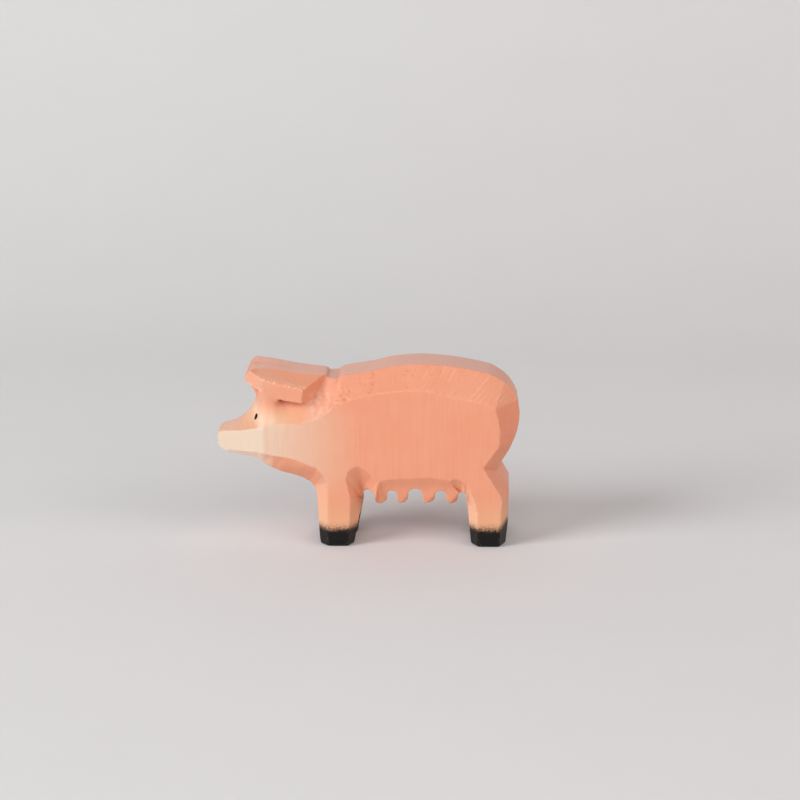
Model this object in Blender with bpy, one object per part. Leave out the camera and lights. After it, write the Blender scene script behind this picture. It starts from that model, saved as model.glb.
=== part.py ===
"""A carved and painted wooden toy sow, about 105 mm long.

The figure is sawn from a plank and faceted with a knife.  The snout points to -X, its
left side faces -Y and +Z is up; the origin is the middle of the ground under it.  The
block is modelled whole and then parted with thin cuts into snout, head, neck, trunk,
udder, legs and hooves; ears and eyes are pieces of their own.  Lengths in the tables
are millimetres and are turned into metres where a shape is made.
"""

import math

import bmesh
import bpy
from mathutils import Matrix, Vector
from mathutils.bvhtree import BVHTree

MM = 0.001
GAP = 0.3                 # width of every parting cut
REACH = 30.0              # how far a cutter stands out of the wood

# Driving dimensions
THICKNESS = 29.0          # the plank
BACK_BAND = 18.2          # sawn band left along the back, between the two rows of facets
EDGE_BAND = 14.0          # the same band down the rump and the hocks
SNOUT_WIDTH = 12.0        # across the snout's flat end
SNOUT_TIP_X = -52.5
CHEEK_X = -36.0           # ahead of this the sides taper to the snout
CROWN_TOP_Z = 62.2
CROWN_WIDTH = 10.0        # between the ears at the crown's top
CHEEK_TOP_Z = 43.3        # where the slope under the ears leaves the flat side
HOOF_HEIGHT = 6.0
LEG_TOP_Z = 22.0
LEG_SLOT_WIDTH = 6.4      # channel between left and right legs and rows of teats
LEG_SLOT_TOP_Z = 17.5
BELLY_Z = 14.1            # tips of the teats
UDDER_WIDTH = 19.0        # across the two rows of teats at their tips
EYE_SIZE = (1.0, 2.5)     # width and height of an eye
EYE_PLACE = (-38.4, 44.9)
EYE_LEAN = math.radians(16.0)

SIDE = THICKNESS / 2
BACK_EDGE = BACK_BAND / 2
BAND = EDGE_BAND / 2
SNOUT = SNOUT_WIDTH / 2
TEATS = UDDER_WIDTH / 2
TAPER = (SIDE - SNOUT) / (CHEEK_X - SNOUT_TIP_X)
CROWN_SLOPE = (SIDE - CROWN_WIDTH / 2) / (CROWN_TOP_Z - CHEEK_TOP_Z)

# Where the parting cuts run across the side, each from its upper to its lower end
SNOUT_CUT = ((-44.6, 48.0), (-37.6, 27.0))
HEAD_CUT = ((-11.3, 66.0), (-26.5, 17.0))
NECK_CUT = ((-7.2, 66.0), (-20.5, 17.0))
UDDER_FRONT_X = -1.0
UDDER_REAR_X = 33.4
HIND_LEG_TOP = ((UDDER_REAR_X, LEG_TOP_Z), (60.0, 30.2))


def crown_half_width(z):
    """Half the width of the head on the slope that carries the ears."""
    return SIDE - (z - CHEEK_TOP_Z) * CROWN_SLOPE


def side_half_width(x):
    """Half the width between the two flat sides, which taper along the snout."""
    return SIDE - max(0.0, CHEEK_X - x) * TAPER


# Stations round the outline: the sawn edge (x, z, half width there), then the point
# (x, z) where the knife facet from that edge meets the flat side.
NOSE_AND_BROW = (
    ((-52.5, 37.0, 5.0), (-52.0, 37.0)),
    ((-52.1, 38.9, 4.8), (-51.5, 38.8)),
    ((-50.6, 40.0, 4.0), (-50.0, 39.4)),
    ((-48.6, 40.6, 3.2), (-47.0, 39.8)),
    ((-46.0, 41.5, 3.0), (-43.5, 40.3)),
    ((-44.4, 42.5, 3.0), (-41.8, 40.7)),
    ((-42.6, 44.2, 3.0), (-40.2, 41.1)),
    ((-41.0, 46.3, 3.1), (-38.3, 41.6)),
    ((-39.9, 48.4, 3.4), (CHEEK_X, 42.3)),
    ((-38.9, 50.6, 4.2), (-34.4, 42.7)),
    ((-38.2, 52.4, 5.0), (-32.7, 43.1)),
)
CROWN_EDGE = ((-39.4, 54.3), (-41.4, 57.4), (-42.1, 58.6), (-42.0, 59.9), (-41.1, 61.1),
              (-40.1, 61.8), (-39.0, 62.2), (-35.3, 62.1), (-32.2, 61.7), (-24.2, 60.3),
              (-20.0, 59.8), (-14.4, 59.3))
CROWN_FOOT = (-32.0, -23.9)          # the slope's lower edge on the flat side, front to rear
NAPE = (
    ((-13.7, 58.4, 7.0), (-23.5, 43.5)),
    ((-10.4, 58.2, 8.8), (-17.4, 45.4)),
    ((-9.6, 59.0, BACK_EDGE), (-13.3, 47.8)),
)
BACK = (
    ((-8.8, 59.5, BACK_EDGE), (-11.7, 50.3)),
    ((-2.5, 60.6, BACK_EDGE), (-4.9, 52.4)),
    ((1.8, 61.3, BACK_EDGE), (1.6, 54.1)),
    ((9.1, 63.0, BACK_EDGE), (9.6, 55.1)),
    ((18.2, 63.7, BACK_EDGE), (19.6, 55.6)),
    ((28.8, 63.0, BACK_EDGE), (28.4, 53.5)),
    ((38.7, 61.2, BACK_EDGE), (37.5, 51.7)),
    ((43.3, 59.9, BACK_EDGE), (41.0, 50.6)),
    ((47.3, 57.4, 9.0), (43.8, 49.7)),
)
RUMP = (
    ((51.9, 50.8, 7.2), (43.9, 49.3)),
    ((52.5, 46.2, BAND), (45.0, 45.2)),
    ((52.3, 43.1, BAND), (45.6, 42.2)),
    ((51.7, 40.0, BAND), (45.6, 39.0)),
    ((50.7, 37.0, BAND), (45.4, 35.6)),
    ((49.1, 33.3, BAND), (43.0, 32.4)),
)
RUMP_ROUND = ((49.0, 56.0), (50.3, 54.2), (51.3, 52.5))    # the sawn curve from the back to the rump
HOCK = (
    ((44.5, 25.9, BAND), (39.9, 28.3)),
    ((48.9, 19.7, BAND), (44.6, 20.8)),
    ((49.1, 18.2, BAND), (46.7, 17.2)),
    ((48.8, 8.0, 8.1), (46.1, 8.1)),
    ((48.0, 0.0, 9.0), (45.7, 0.0)),
)
HIND_LEG_FRONT = (
    ((35.9, 0.0, 10.0), (38.2, 0.0)),
    ((35.3, 6.5, 9.6), (38.2, 6.5)),
    ((34.8, 12.0, 9.0), (38.0, 11.8)),
    ((34.5, BELLY_Z, 8.6), (37.4, 15.2)),
    ((34.3, BELLY_Z, 8.6), (36.4, 18.3)),
    ((34.1, BELLY_Z, 9.0), (35.3, 20.5)),
)
BELLY = (
    ((33.8, BELLY_Z, TEATS), (34.2, 22.6)),
    ((27.5, BELLY_Z, TEATS), (27.5, 23.9)),
    ((21.4, BELLY_Z, TEATS), (21.4, 24.9)),
    ((8.4, BELLY_Z, TEATS), (8.4, 24.1)),
    ((4.8, BELLY_Z, TEATS), (4.6, 23.6)),
    ((3.6, BELLY_Z, TEATS), (3.8, 22.0)),
    ((3.0, BELLY_Z, TEATS), (3.0, 17.6)),
)
FRONT_LEG = (
    ((-2.1, BELLY_Z, BAND), (-5.7, 18.8)),
    ((-3.8, 5.2, 9.4), (-6.2, 6.5)),
    ((-4.7, 0.0, 10.4), (-6.7, 0.0)),
    ((-16.5, 0.0, 10.9), (-13.7, 0.0)),
    ((-16.9, 5.0, 10.6), (-13.8, 7.0)),
    ((-17.4, 14.5, 10.0), (-13.7, 16.5)),
    ((-17.8, 18.4, 9.4), (-13.9, 23.1)),
)
CHEST_AND_CHIN = (
    ((-18.5, 20.2, 9.0), (-15.2, 25.4)),
    ((-20.1, 21.9, 9.0), (-17.2, 27.7)),
    ((-22.6, 23.3, 9.2), (-20.8, 29.2)),
    ((-26.0, 24.5, 9.4), (-24.7, 30.9)),
    ((-29.9, 25.5, 9.4), (-28.9, 31.8)),
    ((-32.8, 26.5, 9.0), (-32.9, 32.3)),
    ((-36.5, 28.5, 8.4), (CHEEK_X, 33.0)),
    ((-38.3, 29.7, 7.8), (-37.8, 33.3)),
    ((-41.8, 30.5, 7.2), (-41.0, 33.2)),
    ((-45.4, 30.9, 6.5), (-45.0, 33.0)),
    ((-48.8, 31.3, 5.6), (-48.6, 33.0)),
    ((-51.0, 32.5, 5.2), (-50.4, 33.4)),
    ((-52.4, 34.7, 5.0), (-51.9, 35.0)),
)
# The right hock was cut further back and higher: shifts (x, z), by the edge station's x
HOCK_SKEW = {44.5: (2.1, 0.0), 48.9: (0.4, 1.5), 49.1: (0.3, 0.0)}

# Round-topped hollows between the teats: front, rear and top of each
ARCHES = ((-1.7, 2.6, 19.6), (6.7, 10.3, 19.6), (14.0, 19.1, 20.4), (23.4, 27.3, 19.7),
          (31.4, 34.1, 19.0))
ARCH_ENDS = (-2.1, 34.3)             # the legs' edges, where the saw stopped

# Cuts on the left side, each point (x, y, z)
EAR_REAR = ((-21.8, -SIDE, 55.75), (-22.5, -SIDE, 50.7), (-14.8, -7.0, 59.6))
EAR_OUTLINE = ((-42.0, 59.9), (-42.2, 58.8), (-41.5, 57.5), (-40.1, 56.9), (-36.8, 54.9),
               (-30.1, 51.9), (-22.5, 50.7), (-12.0, 49.0), (-12.0, 59.2), (-14.4, 59.3),
               (-20.0, 59.8), (-24.2, 60.3), (-32.2, 61.7), (-35.3, 62.1), (-39.0, 62.2),
               (-40.1, 61.8), (-41.1, 61.1))
EAR_HOLLOW_INNER = ((-39.6, -11.4, 62.0), (-37.2, -9.4, 62.2), (-28.0, -7.7, 61.0),
                    (-14.0, -7.0, 59.4))
EAR_HOLLOW_OUTER = ((-39.0, -12.9, 62.1), (-37.3, -13.8, 61.0), (-34.8, -SIDE, 59.6),
                    (-28.3, -SIDE, 57.4), (-20.0, -SIDE, 55.3))
TEMPLE = ((-36.92, -14.1, 54.6), (-30.22, -14.2, 51.6), (-33.0, -14.3, 43.0),
          (-35.5, -14.3, 41.9), (-36.92, -7.0, 54.62), (-30.22, -7.0, 51.62),
          (-33.0, -7.0, 43.0), (-38.0, -4.6, 52.3), (-38.3, -3.9, 50.5), (-39.6, -2.8, 47.9))
ELBOW_RIM = ((-5.7, 18.6), (-6.6, 22.6), (-7.2, 24.9), (-6.6, 26.9), (-4.9, 28.2),
             (-3.4, 28.7), (-1.9, 28.1), (0.0, 26.7), (1.5, 25.4), (2.6, 23.0), (2.8, 18.6))
ELBOW_DEEP = ((-2.4, -9.3, 19.4), (-2.4, -8.0, 15.5))
FLANK_RIM = ((28.2, 23.1), (28.7, 23.9), (30.5, 24.5), (32.0, 23.9), (33.1, 22.6), (33.6, 19.0))
FLANK_DEEP = ((30.6, -11.6, 19.6), (32.4, -10.8, 18.0))


# ---------------------------------------------------------------- small helpers

def to_metres(points):
    return [Vector(p) * MM for p in points]


def srgb(red, green, blue):
    """Linear colour of an 8 bit screen colour."""
    def channel(value):
        value /= 255.0
        return value / 12.92 if value <= 0.04045 else ((value + 0.055) / 1.055) ** 2.4
    return (channel(red), channel(green), channel(blue), 1.0)


def paint(name, colour, roughness):
    material = bpy.data.materials.new(name)
    material.use_nodes = True
    shader = material.node_tree.nodes["Principled BSDF"]
    shader.inputs["Base Color"].default_value = colour
    shader.inputs["Roughness"].default_value = roughness
    shader.inputs["Metallic"].default_value = 0.0
    return material


def new_collection(name):
    collection = bpy.data.collections.new(name)
    bpy.context.scene.collection.children.link(collection)
    return collection


def new_object(name, mesh, collection):
    obj = bpy.data.objects.new(name, mesh)
    collection.objects.link(obj)
    return obj


def mesh_from(bm, name):
    """Turn a bmesh into a mesh with its faces pointing outwards."""
    bmesh.ops.recalc_face_normals(bm, faces=bm.faces[:])
    mesh = bpy.data.meshes.new(name)
    bm.to_mesh(mesh)
    bm.free()
    return mesh


def hull(name, points, cutters):
    """A cutter that is the convex hull of a few points."""
    bm = bmesh.new()
    for point in to_metres(points):
        bm.verts.new(point)
    bmesh.ops.convex_hull(bm, input=bm.verts[:])
    return as_cutter(new_object(name, mesh_from(bm, name), cutters))


def as_cutter(obj):
    obj.hide_render = True
    obj.display_type = "WIRE"
    return obj


def boolean(obj, cutter, operation="DIFFERENCE"):
    modifier = obj.modifiers.new(cutter.name, "BOOLEAN")
    modifier.operation = operation
    modifier.solver = "EXACT"
    modifier.object = cutter


def evaluated_mesh(obj, name):
    graph = bpy.context.evaluated_depsgraph_get()
    return bpy.data.meshes.new_from_object(obj.evaluated_get(graph), depsgraph=graph)


def sawn(name, outline, y_from, y_to, collection):
    """Saw an outline (x, z) out of a board that reaches from one y to the other."""
    curve = bpy.data.curves.new(name, "CURVE")
    curve.dimensions = "2D"
    curve.fill_mode = "BOTH"
    curve.extrude = abs(y_to - y_from) / 2 * MM
    spline = curve.splines.new("POLY")
    spline.points.add(len(outline) - 1)
    for point, (x, z) in zip(spline.points, outline):
        point.co = (x * MM, z * MM, 0.0, 1.0)
    spline.use_cyclic_u = True
    guide = new_object(name + "_outline", curve, collection)
    mesh = evaluated_mesh(guide, name)
    bpy.data.objects.remove(guide)
    bm = bmesh.new()
    bm.from_mesh(mesh)
    bmesh.ops.remove_doubles(bm, verts=bm.verts[:], dist=1e-6)
    lay_upright = Matrix.Translation((0.0, (y_from + y_to) / 2 * MM, 0.0))
    bm.transform(lay_upright @ Matrix.Rotation(math.pi / 2, 4, "X"))
    return new_object(name, mesh_from(bm, name), collection)


def plane_of(points):
    """Centre and unit normal of a knife plane; the normal points to the cut-off side."""
    a, b, c = (Vector(p) for p in points)
    normal = (b - a).cross(c - a).normalized()
    if normal.y > 0.0:
        normal.negate()
    return a, normal


def mirrored(points, side):
    """Points of the left side, or their image on the right side."""
    return [(x, y if side == "left" else -y, z) for x, y, z in points]


# ---------------------------------------------------------------- the carved block

def smooth(stations, steps=3):
    """More stations along a round stretch, on a Catmull-Rom curve through all of them."""
    rows = [Vector(edge + flat) for edge, flat in stations]
    rows = [rows[0] * 2 - rows[1]] + rows + [rows[-1] * 2 - rows[-2]]
    result = []
    for before, start, end, after in zip(rows, rows[1:], rows[2:], rows[3:]):
        for step in range(steps):
            t = step / steps
            row = 0.5 * (2 * start + (end - before) * t
                         + (2 * before - 5 * start + 4 * end - after) * t * t
                         + (3 * start - before - 3 * end + after) * t ** 3)
            result.append((tuple(row[:3]), tuple(row[3:])))
    result.append(stations[-1])
    return result


def crown_stations():
    """The head's top: every edge lies on the slope that runs down under the ears."""
    front, rear = CROWN_FOOT
    last = len(CROWN_EDGE) - 1
    return [((x, z, crown_half_width(z)), (front + (rear - front) * (i / last) ** 2, CHEEK_TOP_Z))
            for i, (x, z) in enumerate(CROWN_EDGE)]


def rump_facet():
    """One flat knife facet from the back to the rump, cut across the rounded sawn edge."""
    (start, start_flat), (end, end_flat) = BACK[-1], RUMP[0]
    corners = [Vector((x, y, z)) for x, z, y in (start, end, start_flat + (SIDE,))]
    normal = (corners[1] - corners[0]).cross(corners[2] - corners[0])
    stations = []
    for i, (x, z) in enumerate(RUMP_ROUND, 1):
        offset = normal.x * (x - corners[0].x) + normal.z * (z - corners[0].z)
        half = corners[0].y - offset / normal.y
        flat = Vector(start_flat).lerp(Vector(end_flat), i / (len(RUMP_ROUND) + 1))
        stations.append(((x, z, half), tuple(flat)))
    return stations


def outline_stations():
    return (list(NOSE_AND_BROW) + crown_stations() + list(NAPE) + smooth(BACK) + rump_facet()
            + list(RUMP) + list(HOCK) + list(HIND_LEG_FRONT) + list(BELLY)
            + list(FRONT_LEG) + list(CHEST_AND_CHIN))


def carved_block(collection):
    """Loft the flat sides to the sawn edge, which leaves the knife facets between."""
    stations = outline_stations()
    bm = bmesh.new()
    rings = []
    for sign in (-1.0, 1.0):
        edge_ring = []
        flat_ring = []
        for (x, z, half), (flat_x, flat_z) in stations:
            back, up = HOCK_SKEW.get(x, (0.0, 0.0)) if sign > 0 else (0.0, 0.0)
            edge_ring.append(bm.verts.new(Vector((x + back, sign * half, z + up)) * MM))
            flat_y = sign * side_half_width(flat_x)
            flat_ring.append(bm.verts.new(Vector((flat_x, flat_y, flat_z)) * MM))
        rings.append((edge_ring, flat_ring))
    (left_edge, left_flat), (right_edge, right_flat) = rings
    for ring, other in ((left_flat, left_edge), (left_edge, right_edge), (right_edge, right_flat)):
        for i in range(len(ring)):
            bm.faces.new((ring[i - 1], ring[i], other[i], other[i - 1]))
    brow = next(i for i, (_, flat) in enumerate(stations) if flat[0] == CHEEK_X)
    jaw = next(i for i in range(len(stations) - 1, 0, -1) if stations[i][1][0] == CHEEK_X)
    for ring in (left_flat, right_flat):
        bm.faces.new(ring[brow:jaw + 1])
        bm.faces.new(ring[jaw:] + ring[:brow + 1])
    bmesh.ops.recalc_face_normals(bm, faces=bm.faces[:])
    bmesh.ops.triangulate(bm, faces=bm.faces[:], quad_method="SHORT_EDGE", ngon_method="BEAUTY")
    return new_object("block", mesh_from(bm, "block"), collection)


def leg_slot(cutters):
    """Round-topped channel along the underside, between the left and right legs."""
    bpy.ops.mesh.primitive_cylinder_add(vertices=24, radius=LEG_SLOT_WIDTH / 2 * MM, depth=0.14,
                                        rotation=(0.0, math.pi / 2, 0.0))
    tube = bpy.context.object
    half = LEG_SLOT_WIDTH / 2
    centre_z = LEG_SLOT_TOP_Z - half
    points = []
    for vertex in tube.data.vertices:
        x, y, z = (tube.matrix_basis @ vertex.co) / MM
        points += [(x, y, z + centre_z), (x, y, -REACH)]
    bpy.data.objects.remove(tube)
    return hull("leg_slot", points, cutters)


def arc(start, end, level, rise, steps=8):
    """Half an ellipse from one x to another, standing up or hanging down from a level."""
    middle, half = (start + end) / 2, (end - start) / 2
    angles = [math.pi * i / steps for i in range(steps + 1)]
    return [(middle - half * math.cos(a), level + rise * math.sin(a)) for a in angles]


def teat_arches(cutters):
    """Saw cut along the belly: five hollows, with a round-tipped teat between each two."""
    front, rear = ARCH_ENDS
    tips = BELLY_Z - 0.01
    outline = [(front, -REACH), (front, tips)]
    for i, (start, end, top) in enumerate(ARCHES):
        half = (end - start) / 2
        outline += arc(start, end, top - half, half)
        if i + 1 < len(ARCHES):
            half = (ARCHES[i + 1][0] - end) / 2
            outline += arc(end, end + 2 * half, tips + half, -half)
    outline += [(rear, tips), (rear, -REACH)]
    return as_cutter(sawn("teat_arches", outline, -REACH, REACH, cutters))


def crown_groove(cutters):
    """Shallow V along the crown, which sets the two ears apart."""
    front = Vector((-46.0, 0.0, 61.3))
    rear = Vector((-16.0, 0.0, 60.0))
    flare = Vector((0.0, 4.5, 3.0))
    points = []
    for end in (front, rear):
        points += [end, end + flare, end + Vector((0.0, -flare.y, flare.z))]
    return hull("crown_groove", points, cutters)


def hollow(name, side, rim, deep, cutters):
    """Scooped hollow from a rim on the flat side to its deepest points."""
    points = list(deep)
    origin = Vector(deep[0])
    for x, z in rim:
        point = origin + (Vector((x, -SIDE, z)) - origin) * 1.4
        points.append(tuple(point))
    return hull(name + "_" + side, mirrored(points, side), cutters)


def temples(block, cutters):
    """Fill the sides of the brow out to the flat sides, up to the front of each ear."""
    for side in ("left", "right"):
        boolean(block, hull("temple_" + side, mirrored(TEMPLE, side), cutters), "UNION")


def carve(block, cutters):
    boolean(block, leg_slot(cutters))
    boolean(block, teat_arches(cutters))
    boolean(block, crown_groove(cutters))
    for side in ("left", "right"):
        boolean(block, hollow("elbow_hollow", side, ELBOW_RIM, ELBOW_DEEP, cutters))
        boolean(block, hollow("flank_hollow", side, FLANK_RIM, FLANK_DEEP, cutters))
        boolean(block, eye_pocket(side, cutters))


# ---------------------------------------------------------------- ears and eyes

def ear(side, collection, cutters):
    """A slab on the slope beside the crown, hollowed on top, with a slanted rear end."""
    inner = 4.0
    y_range = (-SIDE, -inner) if side == "left" else (inner, SIDE)
    slab = sawn("ear_" + side, EAR_OUTLINE, *y_range, collection)
    knife(slab, "ear_rear_" + side, EAR_REAR, side, cutters)
    boolean(slab, ear_hollow(side, cutters))
    tip = SNOUT_TIP_X
    taper = ((CHEEK_X, -SIDE, 50.0), (CHEEK_X, -SIDE, 60.0), (tip, -SNOUT, 55.0))
    knife(slab, "ear_taper_" + side, taper, side, cutters)
    boolean(slab, head_side(side, cutters))
    return slab


def ear_hollow(side, cutters):
    """Hollow on top of an ear, between its inner and its outer edge."""
    points = []
    for x, y, z in EAR_HOLLOW_INNER:
        points += [(x, y, z), (x, y + 4.0, z + 8.0)]
    for x, y, z in EAR_HOLLOW_OUTER:
        points += [(x, y, z), (x, y - 8.0, z - 4.0), (x, y - 8.0, z + 12.0)]
    return hull("ear_hollow_" + side, mirrored(points, side), cutters)


def knife(obj, name, plane, side, cutters):
    """Cut off everything beyond a plane."""
    point, normal = plane_of(plane)
    across = normal.orthogonal().normalized() * 2 * REACH
    along = normal.cross(across)
    face = [point + across, point + along, point - across, point - along]
    points = face + [corner + normal * REACH for corner in face]
    boolean(obj, hull(name, mirrored(points, side), cutters))


def head_side(side, cutters):
    """The crown's slope with the parting cut added: it takes the ear's inner side off."""
    low, high = 40.0, 70.0
    slope_length = math.hypot(1.0, CROWN_SLOPE)
    margin = GAP * slope_length
    points = []
    for x in (-60.0, 0.0):
        for z in (low, high):
            points += [(x, -crown_half_width(z) - margin, z), (x, REACH, z)]
    return hull("ear_seat_" + side, mirrored(points, side), cutters)


def face_point(obj, x, z):
    """Point and normal of an object's left side at a place seen from the side."""
    tree = BVHTree.FromObject(obj, bpy.context.evaluated_depsgraph_get())
    place, normal, _, _ = tree.ray_cast(Vector((x, -3 * REACH, z)) * MM, Vector((0, 1, 0)))
    if place is None:
        raise RuntimeError("the eye misses the head")
    return place, normal


def oval(name, place, normal, size, depth, proud, side, collection):
    """Short oval plug along a facet's normal, leaning with the brow."""
    half_width, half_height = size[0] / 2 * MM, size[1] / 2 * MM
    upward = Vector((math.sin(EYE_LEAN), 0.0, math.cos(EYE_LEAN)))
    upward.y = -upward.dot(normal) / normal.y
    upward.normalize()
    bm = bmesh.new()
    bmesh.ops.create_cone(bm, cap_ends=True, segments=16, radius1=1.0, radius2=1.0,
                          depth=(depth + proud) * MM)
    bmesh.ops.scale(bm, vec=(half_width, half_height, 1.0), verts=bm.verts[:])
    shift = Matrix.Translation((0.0, 0.0, (proud - depth) / 2 * MM))
    turn = Matrix((upward.cross(normal), upward, normal)).transposed().to_4x4()
    bm.transform(Matrix.Translation(place) @ turn @ shift)
    if side == "right":
        bmesh.ops.scale(bm, vec=(1.0, -1.0, 1.0), verts=bm.verts[:])
    return new_object(name, mesh_from(bm, name), collection)


def eye_pocket(side, cutters):
    place, normal = EYE_SEAT
    size = (EYE_SIZE[0] + 2 * GAP, EYE_SIZE[1] + 2 * GAP)
    return as_cutter(oval("eye_pocket_" + side, place, normal, size, 1.1, 2.0, side, cutters))


def eye(side, collection):
    place, normal = EYE_SEAT
    return oval("eye_" + side, place, normal, EYE_SIZE, 0.8, 0.0, side, collection)


# ---------------------------------------------------------------- parting cuts

def inset(corners, distance):
    """Move every side of a convex polygon inwards."""
    centre = sum((Vector(c) for c in corners), Vector((0.0, 0.0))) / len(corners)
    lines = []
    for a, b in zip(corners, corners[1:] + corners[:1]):
        a, b = Vector(a), Vector(b)
        normal = Vector((a.y - b.y, b.x - a.x)).normalized()
        if normal.dot(centre - a) < 0.0:
            normal.negate()
        lines.append((normal, normal.dot(a) + distance))
    result = []
    for (n1, d1), (n2, d2) in zip(lines[-1:] + lines[:-1], lines):
        corner = Matrix((n1, n2)).inverted() @ Vector((d1, d2))
        result.append((corner.x, corner.y))
    return result


def at_height(cut, z):
    """The x of a slanted parting cut at one height."""
    (x0, z0), (x1, z1) = cut
    return x0 + (x1 - x0) * (z - z0) / (z1 - z0)


def regions():
    """Side views of the pieces: name, corners (x, z) and whether left and right part."""
    low, high, front, rear = -20.0, 90.0, -80.0, 80.0
    snout_high, snout_low = at_height(SNOUT_CUT, high), at_height(SNOUT_CUT, low)
    head_high, head_low = at_height(HEAD_CUT, high), at_height(HEAD_CUT, LEG_TOP_Z)
    neck_high, neck_low = at_height(NECK_CUT, high), at_height(NECK_CUT, LEG_TOP_Z)
    head_bottom = at_height(HEAD_CUT, low)
    udder_top = ((UDDER_FRONT_X, LEG_TOP_Z), (UDDER_REAR_X, LEG_TOP_Z))
    hind_end = at_height(tuple((z, x) for x, z in HIND_LEG_TOP), rear)
    return (
        ("snout", [(front, low), (snout_low, low), (snout_high, high), (front, high)], False),
        ("head", [(snout_low, low), (head_bottom, low), (head_high, high), (snout_high, high)],
         False),
        ("neck", [(head_low, LEG_TOP_Z), (neck_low, LEG_TOP_Z), (neck_high, high),
                  (head_high, high)], False),
        ("trunk", [(neck_low, LEG_TOP_Z), udder_top[1], (rear, hind_end), (rear, high),
                   (neck_high, high)], False),
        ("udder", [(UDDER_FRONT_X, low), (UDDER_REAR_X, low), udder_top[1], udder_top[0]], False),
        ("leg_front", [(-22.0, HOOF_HEIGHT), (UDDER_FRONT_X, HOOF_HEIGHT), udder_top[0],
                       (-22.0, LEG_TOP_Z)], True),
        ("hoof_front", [(-22.0, low), (UDDER_FRONT_X, low), (UDDER_FRONT_X, HOOF_HEIGHT),
                        (-22.0, HOOF_HEIGHT)], True),
        ("leg_hind", [(UDDER_REAR_X, HOOF_HEIGHT), (rear, HOOF_HEIGHT), (rear, hind_end),
                      udder_top[1]], True),
        ("hoof_hind", [(UDDER_REAR_X, low), (rear, low), (rear, HOOF_HEIGHT),
                       (UDDER_REAR_X, HOOF_HEIGHT)], True),
    )


def part_block(block, toy, cutters, paints):
    """Give each region its own node: the carved block where it lies in that region."""
    whole = evaluated_mesh(block, "carved")
    for name, corners, split in regions():
        polygon = inset(corners, GAP / 2)
        sides = {"_left": (-REACH, -GAP / 2), "_right": (GAP / 2, REACH)} if split else {
            "": (-REACH, REACH)}
        for suffix, (y_from, y_to) in sides.items():
            piece = new_object(name + suffix, whole.copy(), toy)
            region = as_cutter(sawn("region_" + name + suffix, polygon, y_from, y_to, cutters))
            boolean(piece, region, "INTERSECT")
            piece.data.materials.clear()
            piece.data.materials.append(paints[name.split("_")[0]])


# ---------------------------------------------------------------- build

for old in list(bpy.data.objects):
    bpy.data.objects.remove(old)

toy = new_collection("wooden_sow")
cutters = new_collection("cutters")
pink = paint("pink_paint", srgb(241, 164, 134), 0.45)
cream = paint("cream_paint", srgb(243, 218, 196), 0.45)
black = paint("black_paint", srgb(31, 30, 30), 0.40)
paints = {"snout": cream, "head": cream, "neck": pink, "trunk": pink, "udder": pink,
          "leg": pink, "hoof": black}

block = as_cutter(carved_block(cutters))
temples(block, cutters)
EYE_SEAT = face_point(block, *EYE_PLACE)
carve(block, cutters)
part_block(block, toy, cutters, paints)
for side in ("left", "right"):
    ear(side, toy, cutters).data.materials.append(pink)
    eye(side, toy).data.materials.append(black)
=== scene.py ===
"""Looks for a carved and painted wooden toy sow.

Laid out as a Blender add-on, but run as a script: main() registers the classes and calls
the operators in order.  The toy is one block of wood, so one skin stands for all the nodes:
they are fused, given a fine even mesh and then worked over as a carver's knife, a scraper
and play would.  Lengths in the settings are metres.
"""

import math

import bpy
import numpy as np
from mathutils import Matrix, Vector
from mathutils.bvhtree import BVHTree


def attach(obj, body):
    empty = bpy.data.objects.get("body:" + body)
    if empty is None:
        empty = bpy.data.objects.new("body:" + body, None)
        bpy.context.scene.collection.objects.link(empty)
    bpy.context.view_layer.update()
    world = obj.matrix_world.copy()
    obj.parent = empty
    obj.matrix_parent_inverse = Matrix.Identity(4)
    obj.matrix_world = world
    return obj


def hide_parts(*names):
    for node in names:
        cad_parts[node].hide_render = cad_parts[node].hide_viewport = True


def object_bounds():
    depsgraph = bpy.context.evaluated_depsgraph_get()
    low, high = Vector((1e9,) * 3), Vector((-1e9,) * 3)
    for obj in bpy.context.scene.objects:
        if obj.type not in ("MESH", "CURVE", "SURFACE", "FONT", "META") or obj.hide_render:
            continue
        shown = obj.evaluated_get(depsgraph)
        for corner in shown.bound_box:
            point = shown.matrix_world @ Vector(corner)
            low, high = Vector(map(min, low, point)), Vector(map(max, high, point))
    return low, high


bl_info = {
    "name": "Carved Toy Sow",
    "version": (1, 0, 0),
    "blender": (4, 5, 0),
    "location": "View3D > Sidebar > Toy Sow",
    "description": "Carves and paints a wooden toy sow on its solids",
    "category": "Object",
}

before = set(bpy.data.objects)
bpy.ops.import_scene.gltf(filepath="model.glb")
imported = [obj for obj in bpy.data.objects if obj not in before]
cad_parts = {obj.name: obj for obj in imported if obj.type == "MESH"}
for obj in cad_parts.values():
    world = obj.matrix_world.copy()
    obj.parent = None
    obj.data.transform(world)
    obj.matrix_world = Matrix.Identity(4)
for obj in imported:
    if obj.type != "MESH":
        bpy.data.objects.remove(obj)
CAD_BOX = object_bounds()

MM = 0.001
PARTING_GAP = 0.3 * MM
OVERLAP = 0.01 * MM
POCKET_GAP = 0.42 * MM          # how much wider and deeper an eye's pocket is than its plug
CELL = 0.475 * MM
EYES = ("eye_left", "eye_right")
EARS = ("ear_left", "ear_right")


# ------------------------------------------------------------------ settings

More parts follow.
